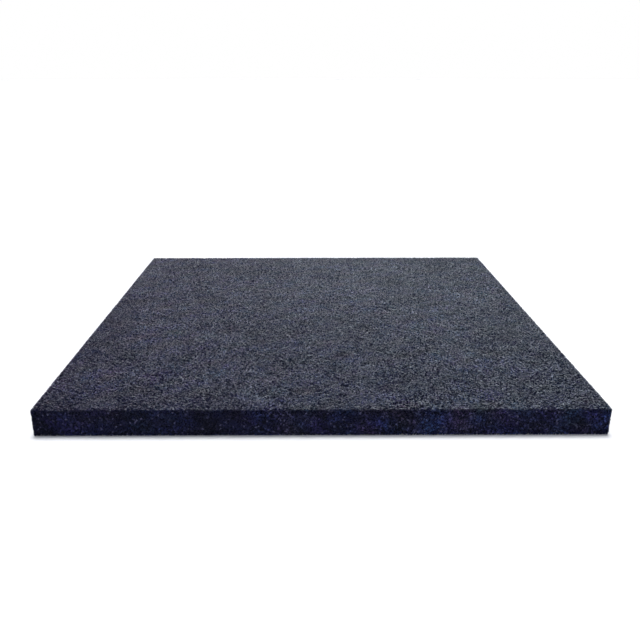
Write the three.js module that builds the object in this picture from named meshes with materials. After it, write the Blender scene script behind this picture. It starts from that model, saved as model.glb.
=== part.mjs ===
// A rubber gym floor tile: one square slab, pressed in a mould from rubber crumb and binder.
// Millimetres, +Z up. The origin is the middle of the underside, X runs along the front edge
// and Y runs from the front edge to the back edge.
// The slab is plain and solid from face to face. Its upright corners and all its edges are
// slightly rounded, as the mould leaves them. The crumb texture is surface relief, and isn't
// part of these solids.
import * as THREE from "three";

// The slab
const TILE_WIDTH = 500;
const TILE_DEPTH = 500;
const TILE_THICKNESS = 25;

// The rounding of the four upright corners, and of the edges round the top and the underside
const CORNER_RADIUS = 1.5;
const EDGE_RADIUS = 0.8;

// Straight steps in each quarter turn of a corner and of an edge
const CORNER_STEPS = 8;
const EDGE_STEPS = 5;

const RUBBER = new THREE.MeshStandardMaterial({
  name: "crumb_rubber",
  color: new THREE.Color(0.045, 0.05, 0.07),
  roughness: 0.85,
  metalness: 0,
});

// A rectangle centred on the origin, with its corners rounded by quarter circles.
function roundedRectangle(width, depth, radius) {
  const right = width / 2;
  const back = depth / 2;
  const shape = new THREE.Shape();
  shape.moveTo(right, radius - back);
  shape.absarc(right - radius, back - radius, radius, 0, Math.PI / 2);
  shape.absarc(radius - right, back - radius, radius, Math.PI / 2, Math.PI);
  shape.absarc(radius - right, radius - back, radius, Math.PI, 1.5 * Math.PI);
  shape.absarc(right - radius, radius - back, radius, 1.5 * Math.PI, 2 * Math.PI);
  return shape;
}

// A slab standing on Z = 0. The drawn outline is that of its flat faces, which the edge
// rounding then grows to the full width and depth.
function roundedSlab(width, depth, thickness, cornerRadius, edgeRadius) {
  const outline = roundedRectangle(
    width - 2 * edgeRadius,
    depth - 2 * edgeRadius,
    cornerRadius - edgeRadius,
  );
  const slab = new THREE.ExtrudeGeometry(outline, {
    depth: thickness - 2 * edgeRadius,
    curveSegments: CORNER_STEPS,
    bevelEnabled: true,
    bevelSize: edgeRadius,
    bevelThickness: edgeRadius,
    bevelSegments: EDGE_STEPS,
  });
  return slab.translate(0, 0, edgeRadius);
}

const tile = new THREE.Mesh(
  roundedSlab(TILE_WIDTH, TILE_DEPTH, TILE_THICKNESS, CORNER_RADIUS, EDGE_RADIUS),
  RUBBER,
);
tile.name = "rubber_tile";

const floorTile = new THREE.Group();
floorTile.add(tile);

export default floorTile;
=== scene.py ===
"""A rubber gym floor tile, dressed for rendering.

The tile is pressed from rubber crumb and binder. Here its surface is made of the crumbs themselves:
small closed three-sided lumps, none of them above the mould's face, with open pores between them. They
sit in a bound core, which is the slab a little smaller than the CAD piece, so nothing leaves the CAD
box. The edges and underside are painted lighter and bluer than the walking face, a painted fill light
for the shade they lie in. Painted shade darkens the crumbs in the hollows of their grain and the deeper
they lie in the pores.
Lengths are metres, +Z is up and the origin is the middle of the underside.
"""

import math

import bpy
import numpy as np
from mathutils import Matrix, Vector


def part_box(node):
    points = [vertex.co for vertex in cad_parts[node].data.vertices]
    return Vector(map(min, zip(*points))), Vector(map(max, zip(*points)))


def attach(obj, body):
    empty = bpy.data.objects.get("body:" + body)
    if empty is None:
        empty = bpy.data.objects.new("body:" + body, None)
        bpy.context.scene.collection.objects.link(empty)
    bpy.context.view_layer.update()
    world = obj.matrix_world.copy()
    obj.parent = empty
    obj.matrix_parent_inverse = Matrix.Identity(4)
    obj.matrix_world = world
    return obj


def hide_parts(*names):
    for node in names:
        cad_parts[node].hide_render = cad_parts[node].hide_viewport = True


bl_info = {
    "name": "Rubber Gym Floor Tile",
    "version": (1, 0, 0),
    "blender": (4, 5, 0),
    "location": "View3D > Sidebar > Rubber Tile",
    "description": "Dresses a pressed rubber crumb tile: its bound core, its crumbs and its studio",
    "category": "Object",
}

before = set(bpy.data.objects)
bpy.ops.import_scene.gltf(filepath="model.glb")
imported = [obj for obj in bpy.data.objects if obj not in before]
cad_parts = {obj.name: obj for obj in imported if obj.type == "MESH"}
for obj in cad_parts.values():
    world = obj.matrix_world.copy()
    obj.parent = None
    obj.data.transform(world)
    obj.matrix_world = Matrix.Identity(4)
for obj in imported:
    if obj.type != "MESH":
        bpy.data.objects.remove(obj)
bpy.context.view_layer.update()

NODE = "rubber_tile"
BODY = "root"

# The slab as the CAD piece has it. The two roundings are the mould's.
LOW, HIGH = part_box(NODE)
HALF_WIDTH = (HIGH.x - LOW.x) / 2
HALF_DEPTH = (HIGH.y - LOW.y) / 2
THICKNESS = HIGH.z - LOW.z
CORNER_RADIUS = 0.0015
EDGE_RADIUS = 0.0008

# The centres of the upright corners and the length of their arcs. The edge's profile, from the underside
# to the walking face, is a quarter circle, the upright face and a quarter circle.
CENTRE_X = HALF_WIDTH - CORNER_RADIUS
CENTRE_Y = HALF_DEPTH - CORNER_RADIUS
CORNER_LENGTH = math.pi / 2 * CORNER_RADIUS
QUARTER_LENGTH = math.pi / 2 * EDGE_RADIUS
UPRIGHT_LENGTH = THICKNESS - 2 * EDGE_RADIUS
BAND_HEIGHT = UPRIGHT_LENGTH + 2 * QUARTER_LENGTH

# Points of one crumb: the ring round its shoulder, its crown and its root in the core
RING = 3
CROWN = RING
ROOT = RING + 1
CRUMB_POINTS = RING + 2

# How a crumb's shape varies: how far a ring point may stray from its even turn, in steps of the ring,
# its least and greatest distance and how far off the middle the crown may stand, both in radii
RING_SWING = 0.2
RING_REACH = (0.8, 1.15)
CROWN_SWING = 0.3

# The power that makes shallow crumbs commoner than deep ones, and how deep a sunk crumb lies at least,
# as a share of the pore depth
LEVEL_SKEW = 2
LEAST_SUNK = 0.5

# The least and greatest radius that the sieves let through, in spacings
SIEVES = (0.4, 1.0)

# Sieve grades of the walking face, from the finest crumb to the coarsest, in equal numbers
GRADES = ("fine", "small", "medium", "coarse")

# The seeds of the crumbs on each face
WALKING_FACE_SEED = 11
EDGE_SEED = 12
UNDERSIDE_SEED = 13

# The plane waves that make up a cloud, and the seeds of the four clouds that all faces share. Those of
# the tone and of the tints are picked for where their patches fall.
WAVES = 24
PORE_SEED = 41
TONE_SEED = 1421
HUE_SEED = 2625
BLUE_SEED = 3996

# The patches of those clouds, in patch sizes, and how far a tint drifts and scatters about its middle
TONE_PATCH = 2.0
HUE_PATCH = 0.6
BLUE_PATCH = 0.5
TINT_DRIFT = 0.22
TINT_SCATTER = 0.05

# The noise values between which a crumb's grain rises out of its hollows, which painted shade darkens,
# the depth at which painted shade in the binder's colour begins to darken a crumb, as a share of the
# core's depth, and the grains of dust on a metre of the core
GRAIN_RISE = (0.36, 0.56)
PORE_SHADE_FROM = 0.15
DUST_GRAINS = 900

# The pieces' own map: the part that shows their faces, and the corner for their walls
MAP_FACES = 0.96
MAP_WALLS = (0.985, 0.998)

# The edge's rows in that map, and the margins at the ends and sides of a row, as shares of it
BAND_ROWS = 8
ROW_END = 0.03
ROW_SIDE = 0.1

# Steps of the core's wall along a straight side, round a corner and up
SIDE_STEPS = 24
CORNER_STEPS = 6
CORE_STEPS = 4

# The studio's floor and its two screens: their radii, their steps, and the screens' elevations
FLOOR_REACH = 20.0
FLOOR_STEPS = 96
BACKDROP_REACH = 19.0
BACKDROP_SPAN = (-0.05, math.pi / 2 - 0.01)
REFLECTOR_REACH = 18.0
REFLECTOR_SPAN = (-0.02, math.pi / 2 - 0.02)
SCREEN_TURNS = 64
SCREEN_RISES = 16

# How far behind the tile the reflector grows from its near share to its full strength, and how far
# across its left colour gives way to its other one, both as sines
REFLECTOR_BEHIND = (-0.3, 0.9)
REFLECTOR_LEFT = (-0.55, -0.05)

# The sines of elevation between which the room's light sets in, and what is left of it below them
ROOM_RISE = (-0.06, 0.02)
ROOM_BELOW = 0.01

# Width of the camera's sensor in millimetres
SENSOR_WIDTH = 36


class Socket:
    """One output of a shader node. Python's operators on it add Math nodes."""

    def __init__(self, graph, output):
        self.graph = graph
        self.output = output

    def math(self, operation, first, second):
        return self.graph.node("ShaderNodeMath", {"operation": operation}, {0: first, 1: second})

    def __add__(self, other):
        return self.math("ADD", self, other)

    def __radd__(self, other):
        return self.math("ADD", other, self)

    def __sub__(self, other):
        return self.math("SUBTRACT", self, other)

    def __rsub__(self, other):
        return self.math("SUBTRACT", other, self)

    def __mul__(self, other):
        return self.math("MULTIPLY", self, other)

    def __rmul__(self, other):
        return self.math("MULTIPLY", other, self)


class Graph:
    """The shader nodes of one material or world."""

    def __init__(self, owner):
        owner.use_nodes = True
        self.tree = owner.node_tree
        self.tree.nodes.clear()

    def node(self, kind, settings=None, sockets=None, output=0):
        """Adds one node: its settings first, then a value or a link for each socket named."""
        made = self.tree.nodes.new(kind)
        for name, value in (settings or {}).items():
            setattr(made, name, value)
        for name, value in (sockets or {}).items():
            if isinstance(value, Socket):
                self.tree.links.new(value.output, made.inputs[name])
            else:
                made.inputs[name].default_value = value
        return Socket(self, made.outputs[output]) if made.outputs else None

    def value(self, name):
        """A number that the mesh stores for each of its points."""
        return self.node("ShaderNodeAttribute", {"attribute_name": name}, output=2)

    def noise(self, place, scale, detail, roughness):
        """Noise from 0 to 1 whose patches are about 1/scale metres wide."""
        sockets = {"Vector": place, "Scale": scale, "Detail": detail, "Roughness": roughness}
        return self.node("ShaderNodeTexNoise", {}, sockets)

    def step(self, value, low, high):
        """0 below low, 1 above high, and a smooth rise between them."""
        settings = {"interpolation_type": "SMOOTHSTEP"}
        return self.node("ShaderNodeMapRange", settings, {0: value, 1: low, 2: high})

    def hump(self, value, middle, width):
        """1 at the middle, and less on both sides by the bell curve."""
        away = (value - middle) * (1 / width)
        return self.node("ShaderNodeMath", {"operation": "EXPONENT"}, {0: away * away * -1.0})

    def mix(self, factor, first, second, blend="MIX"):
        """Two colours mixed, or blended in one of the Mix node's other ways."""
        settings = {"data_type": "RGBA", "blend_type": blend}
        return self.node("ShaderNodeMix", settings, {0: factor, 6: first, 7: second}, 2)

    def tinted(self, colour, factor, low, high):
        """A colour multiplied by a tint, which goes from low to high as the factor goes from 0 to 1."""
        tint = self.mix(factor, rgba(low), rgba(high))
        return self.mix(1.0, colour, tint, "MULTIPLY")

    def surface(self, kind, sockets, end="ShaderNodeOutputMaterial"):
        """Ends the graph with one shader."""
        self.node(end, {}, {"Surface": self.node(kind, {}, sockets)})

    def direction(self, way):
        """The three numbers of a direction, made one unit long."""
        unit = self.node("ShaderNodeVectorMath", {"operation": "NORMALIZE"}, {0: way})
        return [self.node("ShaderNodeSeparateXYZ", {}, {0: unit}, number) for number in range(3)]


def rgba(colour):
    """A colour property as the four numbers that a colour socket takes."""
    return (colour[0], colour[1], colour[2], 1.0)


class TileCrumbs(bpy.types.PropertyGroup):
    """The crumb, its grading and how the mould left it."""

    pitch: bpy.props.FloatProperty(
        name="Crumb spacing",
        description="Mean distance between neighbouring crumbs on a face",
        default=0.00152,
        min=0.0012,
        max=0.008,
        precision=5,
        subtype="DISTANCE",
    )
    fullness: bpy.props.FloatProperty(
        name="Fullness",
        description="Radius of a middling crumb, in spacings",
        default=0.75,
        min=0.3,
        max=1.2,
        subtype="FACTOR",
    )
    scatter: bpy.props.FloatProperty(
        name="Scatter",
        description="How far a crumb may lie from its place in an even lattice, in spacings",
        default=0.36,
        min=0.0,
        max=0.5,
        subtype="FACTOR",
    )
    grading: bpy.props.FloatProperty(
        name="Grading",
        description="How much the crumbs differ in size: the spread of the sieve",
        default=0.2,
        min=0.0,
        max=0.5,
        subtype="FACTOR",
    )
    stretch: bpy.props.FloatProperty(
        name="Stretch",
        description="How oblong the longest crumbs are",
        default=0.35,
        min=0.0,
        max=1.0,
        subtype="FACTOR",
    )
    unevenness: bpy.props.FloatProperty(
        name="Unevenness",
        description="How far below the mould's face an ordinary crumb may lie",
        default=0.0004,
        min=0.0,
        precision=5,
        subtype="DISTANCE",
    )
    relief: bpy.props.FloatProperty(
        name="Relief",
        description="How far a crumb's shoulder may lie below its crown",
        default=0.0005,
        min=0.0,
        precision=5,
        subtype="DISTANCE",
    )
    tilt: bpy.props.FloatProperty(
        name="Tilt",
        description="Spread of the crumbs' lean out of the mould's face",
        default=math.radians(9),
        min=0.0,
        subtype="ANGLE",
    )
    sunk_share: bpy.props.FloatProperty(
        name="Sunk crumbs",
        description="Share of the crumbs that lie deep and leave a pore above them",
        default=0.22,
        min=0.0,
        max=1.0,
        subtype="FACTOR",
    )
    sunk_depth: bpy.props.FloatProperty(
        name="Pore depth",
        description="How deep the deepest of the sunk crumbs lie",
        default=0.0013,
        min=0.0,
        precision=5,
        subtype="DISTANCE",
    )
    patchiness: bpy.props.FloatProperty(
        name="Patchiness",
        description="How much the share of sunk crumbs differs from patch to patch",
        default=0.35,
        min=0.0,
        max=1.0,
        subtype="FACTOR",
    )
    patch_size: bpy.props.FloatProperty(
        name="Patch size",
        description="Size of the smallest patches of open or dense surface",
        default=0.010,
        min=0.001,
        precision=4,
        subtype="DISTANCE",
    )
    tone_drift: bpy.props.FloatProperty(
        name="Tone drift",
        description="How much the mean tone of the crumbs differs from patch to patch",
        default=0.4,
        min=0.0,
        max=1.0,
        subtype="FACTOR",
    )
    rim_width: bpy.props.FloatProperty(
        name="Packed rim",
        description="How far from the slab's edges the mould's tight corners pack the crumbs more level",
        default=0.004,
        min=0.0001,
        precision=4,
        subtype="DISTANCE",
    )
    rim_unevenness: bpy.props.FloatProperty(
        name="Rim unevenness",
        description="Share of the unevenness and of the pores' depth that is left right at an edge",
        default=0.6,
        min=0.0,
        max=1.0,
        subtype="FACTOR",
    )
    tone_skew: bpy.props.FloatProperty(
        name="Tone skew",
        description="Power that an even spread of tones is raised to: more than 1 for more dark crumbs",
        default=3.3,
        min=0.1,
    )
    fleck_share: bpy.props.FloatProperty(
        name="Flecks",
        description="Share of the crumbs that are pale flecks",
        default=0.04,
        min=0.0,
        max=1.0,
        subtype="FACTOR",
    )
    root_depth: bpy.props.FloatProperty(
        name="Root depth",
        description="How far a crumb reaches into the tile",
        default=0.0018,
        min=0.0005,
        precision=5,
        subtype="DISTANCE",
    )
    core_depth: bpy.props.FloatProperty(
        name="Core depth",
        description="How far the bound core lies below the mould's face",
        default=0.0013,
        min=0.0002,
        precision=5,
        subtype="DISTANCE",
    )
    underside_pitch: bpy.props.FloatProperty(
        name="Underside spacing",
        description="Mean distance between neighbouring crumbs on the underside",
        default=0.0045,
        min=0.002,
        max=0.01,
        precision=5,
        subtype="DISTANCE",
    )
    dark: bpy.props.FloatVectorProperty(
        name="Dark crumb",
        description="Colour of the darkest crumbs",
        default=(0.0024, 0.0036, 0.023),
        min=0.0,
        max=1.0,
        subtype="COLOR",
    )
    light: bpy.props.FloatVectorProperty(
        name="Light crumb",
        description="Colour of the ordinary light crumbs",
        default=(0.055, 0.061, 0.122),
        min=0.0,
        max=1.0,
        subtype="COLOR",
    )
    fleck: bpy.props.FloatVectorProperty(
        name="Fleck",
        description="Colour of the few palest crumbs",
        default=(0.08, 0.08, 0.12),
        min=0.0,
        max=1.0,
        subtype="COLOR",
    )
    # The core's own colour, and also the colour of the painted shade that darkens crumbs deep in the pores
    binder_and_pore_shade: bpy.props.FloatVectorProperty(
        name="Binder and pore shade",
        description="Colour of the bound core at the bottom of the pores",
        default=(0.003, 0.005, 0.018),
        min=0.0,
        max=1.0,
        subtype="COLOR",
    )
    cool: bpy.props.FloatVectorProperty(
        name="Cool tint",
        description="What the colour of the coolest crumbs is multiplied by",
        default=(0.65, 1.15, 1.02),
        min=0.0,
        max=2.0,
        subtype="COLOR",
    )
    warm: bpy.props.FloatVectorProperty(
        name="Warm tint",
        description="What the colour of the warmest crumbs is multiplied by",
        default=(1.35, 0.85, 1.02),
        min=0.0,
        max=2.0,
        subtype="COLOR",
    )
    dull: bpy.props.FloatVectorProperty(
        name="Dull tint",
        description="What the colour of the least blue crumbs is multiplied by",
        default=(1.12, 1.04, 0.70),
        min=0.0,
        max=2.0,
        subtype="COLOR",
    )
    vivid: bpy.props.FloatVectorProperty(
        name="Vivid tint",
        description="What the colour of the bluest crumbs is multiplied by",
        default=(0.88, 0.96, 1.35),
        min=0.0,
        max=2.0,
        subtype="COLOR",
    )
    # Painted fill light: the edges and underside are multiplied by this lighter, bluer tint, for the shade
    # they lie in
    side_fill: bpy.props.FloatVectorProperty(
        name="Side fill tint",
        description="What the colour is multiplied by where no skin of binder darkens the crumb",
        default=(1.52, 1.52, 1.95),
        min=0.0,
        max=4.0,
        subtype="COLOR",
    )
    # How far down the edges the painted fill light on the edges and underside fades in
    side_fill_depth: bpy.props.FloatProperty(
        name="Skin",
        description="How far down the edges the walking face's skin of binder fades out",
        default=0.0035,
        min=0.0001,
        precision=4,
        subtype="DISTANCE",
    )
    smoothest: bpy.props.FloatProperty(
        name="Smoothest crumb",
        description="Roughness of the smoothest crumbs",
        default=0.34,
        min=0.0,
        max=1.0,
        subtype="FACTOR",
    )
    roughest: bpy.props.FloatProperty(
        name="Roughest crumb",
        description="Roughness of the roughest crumbs",
        default=0.43,
        min=0.0,
        max=1.0,
        subtype="FACTOR",
    )
    matt_darks: bpy.props.FloatProperty(
        name="Matt darks",
        description="How far it is the dark crumbs that are the rough ones",
        default=0.6,
        min=0.0,
        max=1.0,
        subtype="FACTOR",
    )
    grain_size: bpy.props.FloatProperty(
        name="Grain",
        description="Size of the cut grain on a crumb",
        default=0.0009,
        min=0.0001,
        precision=5,
        subtype="DISTANCE",
    )
    grain_depth: bpy.props.FloatProperty(
        name="Grain depth",
        description="Depth of the cut grain on a crumb",
        default=0.0002,
        min=0.0,
        precision=5,
        subtype="DISTANCE",
    )
    # Painted shade: how far the hollows of the grain are darkened towards the dark crumb colour
    grain_painted_shade: bpy.props.FloatProperty(
        name="Grain painted shade",
        description="How much darker a crumb is in the hollows of its grain",
        default=0.3,
        min=0.0,
        max=1.0,
        subtype="FACTOR",
    )


class TileStudio(bpy.types.PropertyGroup):
    """The floor, the light and the camera."""

    sky: bpy.props.FloatProperty(
        name="Room light",
        description="Strength of the soft light overhead, which fades towards the floor",
        default=0.3,
        min=0.0,
    )
    horizon: bpy.props.FloatProperty(
        name="Horizon light",
        description="Strength of the soft light from low down all round",
        default=0.24,
        min=0.0,
    )
    room_colour: bpy.props.FloatVectorProperty(
        name="Room colour",
        description="Colour of the soft light from the room",
        default=(0.92, 0.97, 1.10),
        min=0.0,
        max=2.0,
        subtype="COLOR",
    )
    overhead: bpy.props.FloatProperty(
        name="Overhead light",
        description="Strength of the wide light overhead",
        default=2.7,
        min=0.0,
    )
    overhead_width: bpy.props.FloatProperty(
        name="Overhead width",
        description="How wide the overhead light is, seen from the tile",
        default=math.radians(19.5),
        min=0.0,
        subtype="ANGLE",
    )
    overhead_lean: bpy.props.FloatProperty(
        name="Overhead lean",
        description="How far the overhead light stands behind the tile",
        default=math.radians(10.5),
        subtype="ANGLE",
    )
    card: bpy.props.FloatProperty(
        name="Reflector",
        description="Strength of the pale screen round the studio, which only glossy surfaces reflect",
        default=11.5,
        min=0.0,
    )
    card_near: bpy.props.FloatProperty(
        name="Reflector near side",
        description="Share of that strength on the camera's side",
        default=0.05,
        min=0.0,
        max=1.0,
        subtype="FACTOR",
    )
    card_middle: bpy.props.FloatProperty(
        name="Reflector height",
        description="Sine of the screen's brightest elevation",
        default=0.24,
    )
    card_width: bpy.props.FloatProperty(
        name="Reflector spread",
        description="How far the screen's light spreads up and down, as a sine",
        default=0.13,
        min=0.01,
    )
    card_right: bpy.props.FloatProperty(
        name="Reflector right side",
        description="How far to the camera's right the screen is brightest, as a sine",
        default=0.10,
    )
    card_slant: bpy.props.FloatProperty(
        name="Reflector slant",
        description="How far the screen's bright part moves to the right for each unit of height",
        default=2.5,
    )
    card_breadth: bpy.props.FloatProperty(
        name="Reflector breadth",
        description="How far the screen's light spreads to both sides, as a sine",
        default=0.52,
        min=0.1,
    )
    card_left_colour: bpy.props.FloatVectorProperty(
        name="Reflector left colour",
        description="Colour of the screen's light at the camera's left",
        default=(1.04, 0.75, 1.02),
        min=0.0,
        max=2.0,
        subtype="COLOR",
    )
    card_colour: bpy.props.FloatVectorProperty(
        name="Reflector colour",
        description="Colour of the screen's light from the middle to the camera's right",
        default=(0.87, 0.99, 1.08),
        min=0.0,
        max=2.0,
        subtype="COLOR",
    )
    floor: bpy.props.FloatVectorProperty(
        name="Floor",
        description="Colour of the floor",
        default=(0.9, 0.9, 0.9),
        min=0.0,
        max=1.0,
        subtype="COLOR",
    )
    lens: bpy.props.FloatProperty(
        name="Lens",
        description="Focal length of the camera in millimetres, on a 36 mm sensor",
        default=38.30,
        min=10.0,
    )
    shift: bpy.props.FloatProperty(
        name="Shift",
        description="Sideways shift of the lens, as a share of the picture's width",
        default=0.0128,
    )
    eye: bpy.props.FloatVectorProperty(
        name="Camera place",
        description="Where the camera stands",
        default=(-0.0107, -0.7698, 0.2993),
        precision=4,
        subtype="TRANSLATION",
    )
    aim: bpy.props.FloatVectorProperty(
        name="Camera aim",
        description="How far the camera turns right, looks down and rolls",
        default=(math.radians(0.255), math.radians(20.298), math.radians(-0.035)),
        unit="ROTATION",
    )


def outline_marks():
    """The lengths of the outline's four straight sides, where each starts, and the whole outline."""
    sides = 2 * np.array([CENTRE_X, CENTRE_Y, CENTRE_X, CENTRE_Y])
    starts = np.concatenate([[0.0], np.cumsum(sides + CORNER_LENGTH)])
    return sides, starts[:-1], starts[-1]


def on_outline(along, inset):
    """Points of the slab's outline, drawn inwards by inset.

    along is a length on the outer outline, which runs anticlockwise seen from above and starts at the
    front face's left end. On a straight side the point moves with along, and on a corner its direction
    turns by along over the corner's radius. Everywhere it stands corner radius minus inset outside the
    rectangle of the corners' centres.
    """
    sides, starts, whole = outline_marks()
    along = np.mod(along, whole)
    side = np.clip(np.searchsorted(starts, along, side="right") - 1, 0, 3)
    run = along - starts[side]
    straight = np.minimum(run, sides[side])
    heading = side * math.pi / 2
    turn = heading + (run - straight) / CORNER_RADIUS
    corner_x = np.array([-1, 1, 1, -1])[side] * CENTRE_X
    corner_y = np.array([-1, -1, 1, 1])[side] * CENTRE_Y
    reach = CORNER_RADIUS - inset
    x = corner_x + straight * np.cos(heading) + reach * np.sin(turn)
    y = corner_y + straight * np.sin(heading) - reach * np.cos(turn)
    return x, y


def on_band(along, up, depth):
    """Points at a depth under the slab's edge, which runs from the underside up to the walking face.

    up is a length on the profile: a quarter circle out from the underside, the upright face, and a
    quarter circle in to the walking face. depth moves the point inwards along the profile's normal.
    """
    below = np.clip(up / EDGE_RADIUS, 0, math.pi / 2) - math.pi / 2
    above = np.clip((up - QUARTER_LENGTH - UPRIGHT_LENGTH) / EDGE_RADIUS, 0, math.pi / 2)
    slope = below + above
    reach = EDGE_RADIUS - depth
    inset = EDGE_RADIUS - reach * np.cos(slope)
    z = EDGE_RADIUS + np.clip(up - QUARTER_LENGTH, 0, UPRIGHT_LENGTH) + reach * np.sin(slope)
    x, y = on_outline(along, inset)
    return np.stack([x, y, z + LOW.z], axis=-1)


def past_centres(x, y):
    """How far a place lies outside the rectangle of the corners' centres, along X and along Y."""
    return np.maximum(np.abs(x) - CENTRE_X, 0), np.maximum(np.abs(y) - CENTRE_Y, 0)


def on_face(x, y, depth):
    """Points of a face drawn to the outline, with how far each lies below the face's plane.

    A point outside the rounded outline is pulled straight towards the corner's centre until it stands
    on the outline. The fall at the rounded edge is the edge's radius minus the height of its quarter
    circle, at the point's distance past the flat part, and the depth comes on top of it.
    """
    over_x, over_y = past_centres(x, y)
    distance = np.hypot(over_x, over_y)
    pull = np.minimum(CORNER_RADIUS / np.maximum(distance, 1e-9), 1)
    x = np.sign(x) * (np.minimum(np.abs(x), CENTRE_X) + over_x * pull)
    y = np.sign(y) * (np.minimum(np.abs(y), CENTRE_Y) + over_y * pull)
    past = np.clip(distance - (CORNER_RADIUS - EDGE_RADIUS), 0, EDGE_RADIUS)
    fall = EDGE_RADIUS - np.sqrt(EDGE_RADIUS**2 - past**2)
    return x, y, fall + depth


def on_walking_face(u, v, depth):
    """Points at a depth under the walking face, rounded down at its edges."""
    x, y, fall = on_face(u, v, depth)
    return np.stack([x, y, HIGH.z - fall], axis=-1)


def on_underside(u, v, depth):
    """Points at a depth above the underside, rounded up at its edges. v runs to the front."""
    x, y, fall = on_face(u, -v, depth)
    return np.stack([x, y, LOW.z + fall], axis=-1)


def in_flat_face(u, v):
    """True where a place lies on the flat part of a face, inside the rounded edge."""
    return np.hypot(*past_centres(u, v)) < CORNER_RADIUS - EDGE_RADIUS


def lattice(low, high, pitch, scatter, rng):
    """Crumb places in a rectangle: rows of equal triangles, each point moved at random."""
    rows = np.arange(low[1], high[1], pitch * math.sqrt(3) / 2)
    places = np.arange(low[0], high[0] + pitch, pitch)
    u, v = np.meshgrid(places, rows)
    u = u - pitch / 2 * (np.arange(len(rows)) % 2)[:, None]
    shift = rng.uniform(-scatter, scatter, (2, *u.shape)) * pitch
    return (u + shift[0]).ravel(), (v + shift[1]).ravel()


def cloud(points, size, seed):
    """A smooth random number for each point, whose mean is 0 and whose spread is 1.

    It is a sum of sine waves through space, divided by the root of half their number. Each wave has a
    direction, a phase and a length of its own, and half a wave is one to four patch sizes long.
    """
    rng = np.random.default_rng(seed)
    ways = rng.normal(0, 1, (3, WAVES))
    ways = ways / np.linalg.norm(ways, axis=0)
    turns = 2 * math.pi / (2 * size * rng.uniform(1, 4, WAVES))
    phases = rng.uniform(0, 2 * math.pi, WAVES)
    return np.sin(points @ (ways * turns) + phases).sum(axis=-1) / math.sqrt(WAVES / 2)


def rim_distance(points):
    """How far each point is from the nearest of the slab's edges.

    It is the second smallest of the point's distances from the slab's faces, counted along X, Y and Z.
    """
    middle = np.array([0, 0, (LOW.z + HIGH.z) / 2])
    half = np.array([HALF_WIDTH, HALF_DEPTH, THICKNESS / 2])
    return np.sort(half - np.abs(points - middle), axis=-1)[:, 1]


def crumb_radii(count, pitch, sizes, rng):
    """Radii whose logarithms are spread by the bell curve, within the sieves' least and greatest."""
    radius = pitch * sizes.fullness * np.exp(rng.normal(0, sizes.grading, count))
    return np.clip(radius, pitch * SIEVES[0], pitch * SIEVES[1])


def crumb_solids(places, radius, openness, looseness, sizes, rng):
    """Crumbs at their places as points in three arrays: u, v and depth below the mould's face.

    A ring point stands at the crumb's radius times a random share, at a third of a turn and a bit, and
    the ring is stretched along one random direction and narrowed across it. The crown stands over a
    random place inside the ring. Each ring point lies below the crown by a random share of the relief
    and by the slope of a plane that leans by the tilt, and no point is above the mould's face. The
    root lies under the middle, by the root depth below the crumb's level. openness raises the share of
    sunk crumbs, and looseness is the share of each crumb's level below the mould's face that is left.
    """
    count = len(radius)
    turn = (np.arange(RING) + rng.uniform(-RING_SWING, RING_SWING, (count, RING))) * 2 * math.pi / RING
    turn = turn + rng.uniform(0, 2 * math.pi, (count, 1))
    reach = radius[:, None] * rng.uniform(*RING_REACH, (count, RING))
    grain = rng.uniform(0, math.pi, (count, 1))
    longer = 1 + sizes.stretch * rng.uniform(0, 1, (count, 1))
    lengthwise = reach * np.cos(turn - grain) * longer
    across = reach * np.sin(turn - grain) / longer
    ring_u = lengthwise * np.cos(grain) - across * np.sin(grain)
    ring_v = lengthwise * np.sin(grain) + across * np.cos(grain)
    lean = math.tan(sizes.tilt) * rng.normal(0, 1, (2, count, 1))
    sunk = rng.uniform(0, 1, count) < sizes.sunk_share * (1 + sizes.patchiness * openness)
    level = rng.uniform(0, 1, count) ** LEVEL_SKEW * sizes.unevenness
    level = (level + sunk * rng.uniform(LEAST_SUNK, 1, count) * sizes.sunk_depth) * looseness
    shoulder = rng.uniform(0, 1, (count, RING)) * sizes.relief
    off_centre = rng.uniform(-CROWN_SWING, CROWN_SWING, (2, count)) * radius
    points_u = np.repeat(places[0][:, None], CRUMB_POINTS, axis=1)
    points_v = np.repeat(places[1][:, None], CRUMB_POINTS, axis=1)
    depth = np.empty((count, CRUMB_POINTS))
    points_u[:, :RING] += ring_u
    points_v[:, :RING] += ring_v
    points_u[:, CROWN] += off_centre[0]
    points_v[:, CROWN] += off_centre[1]
    depth[:, :RING] = level[:, None] + shoulder + ring_u * lean[0] + ring_v * lean[1]
    depth[:, CROWN] = level + off_centre[0] * lean[0, :, 0] + off_centre[1] * lean[1, :, 0]
    depth[:, ROOT] = level + sizes.root_depth
    return points_u, points_v, np.maximum(depth, 0)


def crumb_triangles(count):
    """Corner numbers of the crumbs' triangles: first all walls, then all faces.

    Of each crumb the walls join two ring points to the root, and the faces join them to the crown.
    """
    ring = np.arange(RING)
    following = np.roll(ring, -1)
    wall = np.stack([np.full(RING, ROOT), following, ring], axis=-1)
    face = np.stack([np.full(RING, CROWN), ring, following], axis=-1)
    first = np.arange(count)[:, None, None] * CRUMB_POINTS
    walls = (first + wall).reshape(-1, 3)
    faces = (first + face).reshape(-1, 3)
    return np.concatenate([walls, faces])


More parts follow.
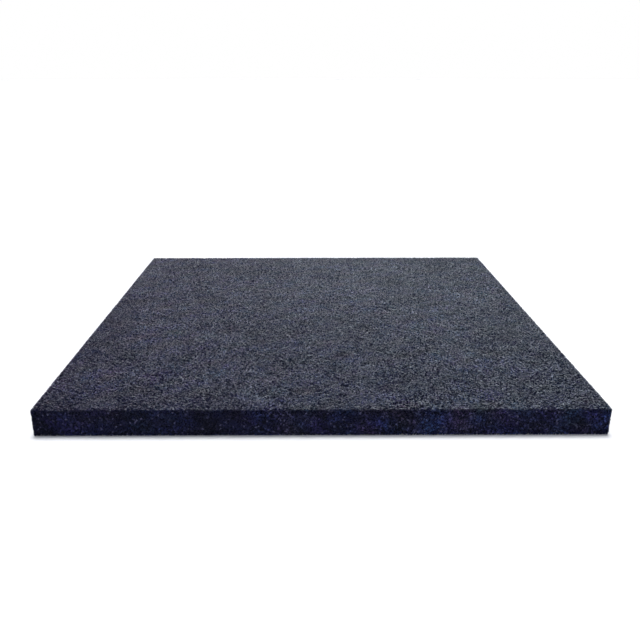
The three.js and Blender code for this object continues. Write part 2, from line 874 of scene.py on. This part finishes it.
def mesh_object(name, points, triangles):
    """A flat-shaded mesh object at the origin, filled from whole arrays of points and triangles."""
    mesh = bpy.data.meshes.new(name)
    mesh.vertices.add(len(points))
    mesh.vertices.foreach_set("co", points.astype(np.float32).ravel())
    mesh.loops.add(triangles.size)
    mesh.loops.foreach_set("vertex_index", triangles.astype(np.int32).ravel())
    mesh.polygons.add(len(triangles))
    mesh.polygons.foreach_set("loop_start", np.arange(0, triangles.size, 3, dtype=np.int32))
    mesh.update(calc_edges=True)
    mesh.polygons.foreach_set("use_smooth", np.zeros(len(triangles), dtype=bool))
    made = bpy.data.objects.new(name, mesh)
    bpy.context.scene.collection.objects.link(made)
    return made


def point_values(piece, name, values):
    """Stores one number for each point of a piece, for its material to read."""
    attribute = piece.data.attributes.new(name, "FLOAT", "POINT")
    attribute.data.foreach_set("value", values.astype(np.float32).ravel())


def face_map(u, v):
    """A flat face's own map: the square of the face drawn to the map's main part."""
    return (0.5 + u / (2 * HALF_WIDTH)) * MAP_FACES, (0.5 + v / (2 * HALF_DEPTH)) * MAP_FACES


def band_map(along, up):
    """The edge band's own map: eight equal lengths of the band, one above the other.

    A crumb's row comes from its root, so that no crumb is torn between two rows.
    """
    length = outline_marks()[2] / BAND_ROWS
    row = np.clip(np.floor(along[:, ROOT:] / length), 0, BAND_ROWS - 1)
    across = (along / length - row) * (1 - 2 * ROW_END) + ROW_END
    climb = (row + up / BAND_HEIGHT * (1 - 2 * ROW_SIDE) + ROW_SIDE) / BAND_ROWS
    return across * MAP_FACES, climb * MAP_FACES


def own_map(piece, map_u, map_v, count):
    """Gives a crumb piece its map. All the walls, of which little is seen, share one small triangle."""
    walls = count * RING
    corners = crumb_triangles(count).ravel()
    places = np.stack([map_u.ravel()[corners], map_v.ravel()[corners]], axis=-1)
    near, far = MAP_WALLS
    shared = np.array([[near, near], [far, near], [near, far]])
    places[: walls * 3] = np.tile(shared, (walls, 1))
    layer = piece.data.uv_layers.new(name="OFBake")
    layer.data.foreach_set("uv", places.astype(np.float32).ravel())


def crumb_piece(name, places, radius, surface, flat_map, sizes, rng):
    """One mesh of many crumbs on a face of the tile, riding on the tile's body."""
    centres = surface(places[0], places[1], np.zeros(len(radius)))
    openness = cloud(centres, sizes.patch_size, PORE_SEED)
    rim = rim_distance(centres) / sizes.rim_width
    looseness = np.clip(sizes.rim_unevenness + (1 - sizes.rim_unevenness) * rim, 0, 1)
    points_u, points_v, depth = crumb_solids(places, radius, openness, looseness, sizes, rng)
    points = surface(points_u, points_v, depth)
    count = len(radius)
    made = mesh_object(name, points.reshape(-1, 3), crumb_triangles(count))
    own_map(made, *flat_map(points_u, points_v), count)
    drift = cloud(centres, sizes.patch_size * TONE_PATCH, TONE_SEED)
    hue = cloud(centres, sizes.patch_size * HUE_PATCH, HUE_SEED) * TINT_DRIFT
    blue = cloud(centres, sizes.patch_size * BLUE_PATCH, BLUE_SEED) * TINT_DRIFT
    tone = rng.uniform(0, 1, count) ** sizes.tone_skew
    tone = np.clip(tone * (1 + drift * sizes.tone_drift), 0, 1)
    matt = rng.uniform(0, 1, count)
    of_crumb = {
        "tone": tone,
        "hue": np.clip(0.5 + hue + rng.normal(0, TINT_SCATTER, count), 0, 1),
        "blue": np.clip(0.5 + blue + rng.normal(0, TINT_SCATTER, count), 0, 1),
        # How far down the edge a crumb lies, for the painted fill light on the edges and underside
        "side_fill": np.clip((HIGH.z - centres[:, 2]) / sizes.side_fill_depth, 0, 1),
        "matt": matt + (1 - tone - matt) * sizes.matt_darks,
        "fleck": rng.uniform(0, 1, count) < sizes.fleck_share,
    }
    for value_name, values in of_crumb.items():
        point_values(made, value_name, np.repeat(values, CRUMB_POINTS))
    # Depth below the mould's face, as a share of the core's depth, for the painted shade in the pores
    point_values(made, "deep", np.clip(depth / sizes.core_depth, 0, 1))
    made.data.materials.append(crumb_material(sizes))
    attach(made, BODY)
    return made


def crumb_material(sizes):
    """Pressed rubber crumb: each crumb's own tone, tint and gloss, a few flecks and a fine grain, with
    painted shade in the grain's hollows and deep in the pores, and a painted fill light on the edges and
    underside.
    """
    name = "pressed_crumb_rubber"
    if name in bpy.data.materials:
        return bpy.data.materials[name]
    material = bpy.data.materials.new(name)
    graph = Graph(material)
    place = graph.node("ShaderNodeTexCoord", output=3)
    grain = graph.noise(place, 1 / sizes.grain_size, detail=2.0, roughness=0.5)
    hollow_shade_mask = 1 - graph.step(grain, *GRAIN_RISE)
    base = graph.mix(graph.value("tone"), rgba(sizes.dark), rgba(sizes.light))
    base = graph.tinted(base, graph.value("hue"), sizes.cool, sizes.warm)
    base = graph.tinted(base, graph.value("blue"), sizes.dull, sizes.vivid)
    base = graph.mix(graph.value("fleck"), base, rgba(sizes.fleck))
    # Painted fill light: the edges and underside lighter and bluer than the walking face
    base = graph.tinted(base, graph.value("side_fill"), (1, 1, 1), sizes.side_fill)
    # Painted shade in the hollows of the grain
    base = graph.mix(hollow_shade_mask * sizes.grain_painted_shade, base, rgba(sizes.dark))
    # Painted shade: a crumb darkens towards the binder colour the deeper it lies, so sunk crumbs and walls
    # go dark
    base = graph.mix(graph.step(graph.value("deep"), PORE_SHADE_FROM, 1.0), base, rgba(sizes.binder_and_pore_shade))
    spread = sizes.roughest - sizes.smoothest
    bump = {"Strength": 1.0, "Distance": sizes.grain_depth, "Height": grain}
    shader = {
        "Base Color": base,
        "Roughness": sizes.smoothest + graph.value("matt") * spread,
        "IOR": 1.5,
        "Normal": graph.node("ShaderNodeBump", {}, bump),
    }
    graph.surface("ShaderNodeBsdfPrincipled", shader)
    return material


def core_material(sizes):
    """The bound core: binder and fine rubber dust, seen only at the bottom of the pores."""
    material = bpy.data.materials.new("bound_core")
    graph = Graph(material)
    place = graph.node("ShaderNodeTexCoord", output=3)
    dust = graph.noise(place, DUST_GRAINS, detail=3.0, roughness=0.6)
    bump = {"Strength": 0.5, "Distance": 0.0004, "Height": dust}
    shader = {
        "Base Color": graph.mix(dust * 0.35, rgba(sizes.binder_and_pore_shade), rgba(sizes.dark)),
        "Roughness": 0.8 + dust * 0.1,
        "IOR": 1.45,
        "Normal": graph.node("ShaderNodeBump", {}, bump),
    }
    graph.surface("ShaderNodeBsdfPrincipled", shader)
    return material


class TILE_OT_core(bpy.types.Operator):
    """Makes the bound core that the crumbs sit in, and hides the plain CAD slab."""

    bl_idname = "rubber_tile.core"
    bl_label = "Bound core"

    def execute(self, context):
        sizes = context.scene.tile_crumbs
        depth = sizes.core_depth
        sides, starts, _ = outline_marks()
        straight = sides[:, None] * np.arange(SIDE_STEPS) / SIDE_STEPS
        corner = sides[:, None] + CORNER_LENGTH * np.arange(CORNER_STEPS) / CORNER_STEPS
        along = (starts[:, None] + np.concatenate([straight, corner], axis=1)).ravel()
        heights = np.linspace(LOW.z + depth, HIGH.z - depth, CORE_STEPS + 1)
        columns = len(along)
        x, y = on_outline(along, np.full(columns, depth))
        grid_x, grid_z = np.meshgrid(x, heights)
        grid_y = np.meshgrid(y, heights)[0]
        wall = np.stack([grid_x, grid_y, grid_z], axis=-1).reshape(-1, 3)
        centres = np.array([[0, 0, heights[0]], [0, 0, heights[-1]]])
        ring = np.arange(columns)
        following = (ring + 1) % columns
        rows = np.arange(len(heights) - 1)[:, None] * columns
        lower = np.stack([rows + ring, rows + following, rows + columns + following], axis=-1)
        upper = np.stack([rows + ring, rows + columns + following, rows + columns + ring], axis=-1)
        underside = np.stack([np.full(columns, len(wall)), following, ring], axis=-1)
        last = len(wall) - columns
        top = np.stack([np.full(columns, len(wall) + 1), last + ring, last + following], axis=-1)
        triangles = [lower.reshape(-1, 3), upper.reshape(-1, 3), underside, top]
        core = mesh_object("bound_core", np.concatenate([wall, centres]), np.concatenate(triangles))
        core.data.materials.append(core_material(sizes))
        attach(core, BODY)
        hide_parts(NODE)
        return {"FINISHED"}


class TILE_OT_walking_face(bpy.types.Operator):
    """Makes the crumbs of the walking face, one piece for each sieve grade."""

    bl_idname = "rubber_tile.walking_face"
    bl_label = "Walking face crumbs"

    def execute(self, context):
        sizes = context.scene.tile_crumbs
        rng = np.random.default_rng(WALKING_FACE_SEED)
        half = np.array([HALF_WIDTH, HALF_DEPTH])
        u, v = lattice(-half, half, sizes.pitch, sizes.scatter, rng)
        keep = in_flat_face(u, v)
        u, v = u[keep], v[keep]
        radius = crumb_radii(len(u), sizes.pitch, sizes, rng)
        order = np.argsort(radius)
        for grade, mine in zip(GRADES, np.array_split(order, len(GRADES))):
            places = (u[mine], v[mine])
            name = "walking_face_%s_crumbs" % grade
            crumb_piece(name, places, radius[mine], on_walking_face, face_map, sizes, rng)
        return {"FINISHED"}


class TILE_OT_edge(bpy.types.Operator):
    """Makes the crumbs of the four upright faces and of the rounded edges."""

    bl_idname = "rubber_tile.edge"
    bl_label = "Edge crumbs"

    def execute(self, context):
        sizes = context.scene.tile_crumbs
        rng = np.random.default_rng(EDGE_SEED)
        margin = EDGE_RADIUS / 2
        low = (0, margin)
        high = (outline_marks()[2] - sizes.pitch, BAND_HEIGHT)
        u, v = lattice(low, high, sizes.pitch, sizes.scatter, rng)
        v = np.clip(v, margin, BAND_HEIGHT - margin)
        radius = crumb_radii(len(u), sizes.pitch, sizes, rng)
        crumb_piece("edge_crumbs", (u, v), radius, on_band, band_map, sizes, rng)
        return {"FINISHED"}


class TILE_OT_underside(bpy.types.Operator):
    """Makes the crumbs of the underside, plainer and coarser than the rest."""

    bl_idname = "rubber_tile.underside"
    bl_label = "Underside crumbs"

    def execute(self, context):
        sizes = context.scene.tile_crumbs
        rng = np.random.default_rng(UNDERSIDE_SEED)
        half = np.array([HALF_WIDTH, HALF_DEPTH])
        pitch = sizes.underside_pitch
        u, v = lattice(-half, half, pitch, sizes.scatter, rng)
        keep = in_flat_face(u, v)
        radius = crumb_radii(int(keep.sum()), pitch, sizes, rng)
        places = (u[keep], v[keep])
        crumb_piece("underside_crumbs", places, radius, on_underside, face_map, sizes, rng)
        return {"FINISHED"}


class TILE_OT_studio(bpy.types.Operator):
    """Makes the floor, the soft light and the camera at the photograph's angle."""

    bl_idname = "rubber_tile.studio"
    bl_label = "Studio"

    def execute(self, context):
        studio = context.scene.tile_studio
        self.make_floor(studio)
        self.make_backdrop()
        self.make_reflector(studio)
        self.make_light(context.scene, studio)
        self.make_camera(context.scene, studio)
        context.scene.view_settings.view_transform = "Standard"
        return {"FINISHED"}

    def make_floor(self, studio):
        """A wide flat disc under the tile."""
        turn = np.linspace(0, 2 * math.pi, FLOOR_STEPS + 1)[:-1]
        level = np.full(FLOOR_STEPS, LOW.z)
        rim = np.stack([FLOOR_REACH * np.cos(turn), FLOOR_REACH * np.sin(turn), level], axis=-1)
        points = np.concatenate([[[0, 0, LOW.z]], rim])
        ring = np.arange(FLOOR_STEPS) + 1
        triangles = np.stack([np.zeros(FLOOR_STEPS, dtype=int), ring, np.roll(ring, -1)], axis=-1)
        floor = mesh_object("studio_floor", points, triangles)
        material = bpy.data.materials.new("studio_floor")
        graph = Graph(material)
        graph.surface("ShaderNodeBsdfDiffuse", {"Color": rgba(studio.floor)})
        floor.data.materials.append(material)
        floor.visible_glossy = False

    def round_screen(self, name, reach, span):
        """Part of a sphere round the studio, between two elevations, as points and triangles."""
        turn = np.linspace(0, 2 * math.pi, SCREEN_TURNS + 1)[:-1]
        rise = np.linspace(*span, SCREEN_RISES + 1)
        grid_turn, grid_rise = np.meshgrid(turn, rise)
        flat = np.cos(grid_rise)
        points = [flat * np.cos(grid_turn), flat * np.sin(grid_turn), np.sin(grid_rise)]
        points = reach * np.stack(points, axis=-1).reshape(-1, 3)
        rows, columns = grid_turn.shape
        corner = np.arange(rows - 1)[:, None] * columns + np.arange(columns)
        beside = np.arange(rows - 1)[:, None] * columns + (np.arange(columns) + 1) % columns
        lower = np.stack([corner, beside + columns, beside], axis=-1).reshape(-1, 3)
        upper = np.stack([corner, corner + columns, beside + columns], axis=-1).reshape(-1, 3)
        return mesh_object(name, points, np.concatenate([lower, upper]))

    def make_backdrop(self):
        """A white dome round the floor, which only the camera sees."""
        dome = self.round_screen("studio_backdrop", BACKDROP_REACH, BACKDROP_SPAN)
        material = bpy.data.materials.new("studio_backdrop")
        graph = Graph(material)
        graph.surface("ShaderNodeEmission", {"Color": (1, 1, 1, 1), "Strength": 1.0})
        dome.data.materials.append(material)
        dome.visible_glossy = False
        dome.visible_diffuse = False
        dome.visible_shadow = False

    def make_reflector(self, studio):
        """A pale screen round the studio, brightest behind the tile, which only gloss reflects.

        Its bright part leans to the right as it rises, and its colour changes on the left of that part.
        """
        screen = self.round_screen("studio_reflector", REFLECTOR_REACH, REFLECTOR_SPAN)
        material = bpy.data.materials.new("studio_reflector")
        material.cycles.emission_sampling = "NONE"
        graph = Graph(material)
        right, behind, rise = graph.direction(graph.node("ShaderNodeTexCoord", output=3))
        near = studio.card_near
        across = right - (rise - studio.card_middle) * studio.card_slant
        breadth = graph.hump(across, studio.card_right, studio.card_breadth)
        side = near + (1 - near) * graph.step(behind, *REFLECTOR_BEHIND) * breadth
        strength = graph.hump(rise, studio.card_middle, studio.card_width) * side * studio.card
        colours = (rgba(studio.card_left_colour), rgba(studio.card_colour))
        colour = graph.mix(graph.step(across, *REFLECTOR_LEFT), *colours)
        graph.surface("ShaderNodeEmission", {"Color": colour, "Strength": strength})
        screen.data.materials.append(material)
        screen.visible_camera = False
        screen.visible_diffuse = False
        screen.visible_shadow = False

    def make_light(self, scene, studio):
        """A wide light overhead, and a soft room light that fades towards the floor."""
        lamp = bpy.data.lights.new("overhead_light", "SUN")
        lamp.energy = studio.overhead
        lamp.angle = studio.overhead_width
        overhead = bpy.data.objects.new("overhead_light", lamp)
        overhead.rotation_euler = (-studio.overhead_lean, 0, 0)
        overhead.visible_glossy = False
        scene.collection.objects.link(overhead)
        world = bpy.data.worlds.new("studio_room")
        scene.world = world
        graph = Graph(world)
        rise = graph.direction(graph.node("ShaderNodeTexCoord", output=0))[2]
        room = graph.step(rise, *ROOM_RISE) * (studio.horizon + rise * studio.sky) + ROOM_BELOW
        sockets = {"Color": rgba(studio.room_colour), "Strength": room}
        graph.surface("ShaderNodeBackground", sockets, "ShaderNodeOutputWorld")

    def make_camera(self, scene, studio):
        """The camera where the photograph's lines put it, turned by its yaw, pitch and roll."""
        yaw, pitch, roll = studio.aim
        ahead = Vector((math.sin(yaw) * math.cos(pitch), math.cos(yaw) * math.cos(pitch), -math.sin(pitch)))
        level = Vector((math.cos(yaw), -math.sin(yaw), 0))
        upright = level.cross(ahead)
        right = math.cos(roll) * level + math.sin(roll) * upright
        up = -math.sin(roll) * level + math.cos(roll) * upright
        data = bpy.data.cameras.new("photo_camera")
        data.lens = studio.lens
        data.sensor_width = SENSOR_WIDTH
        data.shift_x = studio.shift
        camera = bpy.data.objects.new("photo_camera", data)
        turn = Matrix((right, up, -ahead)).transposed().to_4x4()
        camera.matrix_world = Matrix.Translation(studio.eye) @ turn
        scene.collection.objects.link(camera)
        scene.camera = camera


class TILE_PT_panel(bpy.types.Panel):
    """Lists the tile's pieces and its studio in the sidebar."""

    bl_label = "Rubber Tile"
    bl_idname = "TILE_PT_panel"
    bl_space_type = "VIEW_3D"
    bl_region_type = "UI"
    bl_category = "Rubber Tile"

    def draw(self, context):
        for group in (context.scene.tile_crumbs, context.scene.tile_studio):
            for name in group.__annotations__:
                self.layout.prop(group, name)
        for operator in OPERATORS:
            self.layout.operator(operator.bl_idname)


OPERATORS = (TILE_OT_core, TILE_OT_walking_face, TILE_OT_edge, TILE_OT_underside, TILE_OT_studio)
CLASSES = (TileCrumbs, TileStudio, *OPERATORS, TILE_PT_panel)


def register():
    for made in CLASSES:
        bpy.utils.register_class(made)
    bpy.types.Scene.tile_crumbs = bpy.props.PointerProperty(type=TileCrumbs)
    bpy.types.Scene.tile_studio = bpy.props.PointerProperty(type=TileStudio)


def unregister():
    del bpy.types.Scene.tile_studio
    del bpy.types.Scene.tile_crumbs
    for made in reversed(CLASSES):
        bpy.utils.unregister_class(made)


def main():
    """Makes the tile and its studio."""
    register()
    bpy.ops.rubber_tile.core()
    bpy.ops.rubber_tile.walking_face()
    bpy.ops.rubber_tile.edge()
    bpy.ops.rubber_tile.underside()
    bpy.ops.rubber_tile.studio()


if __name__ == "__main__":
    main()
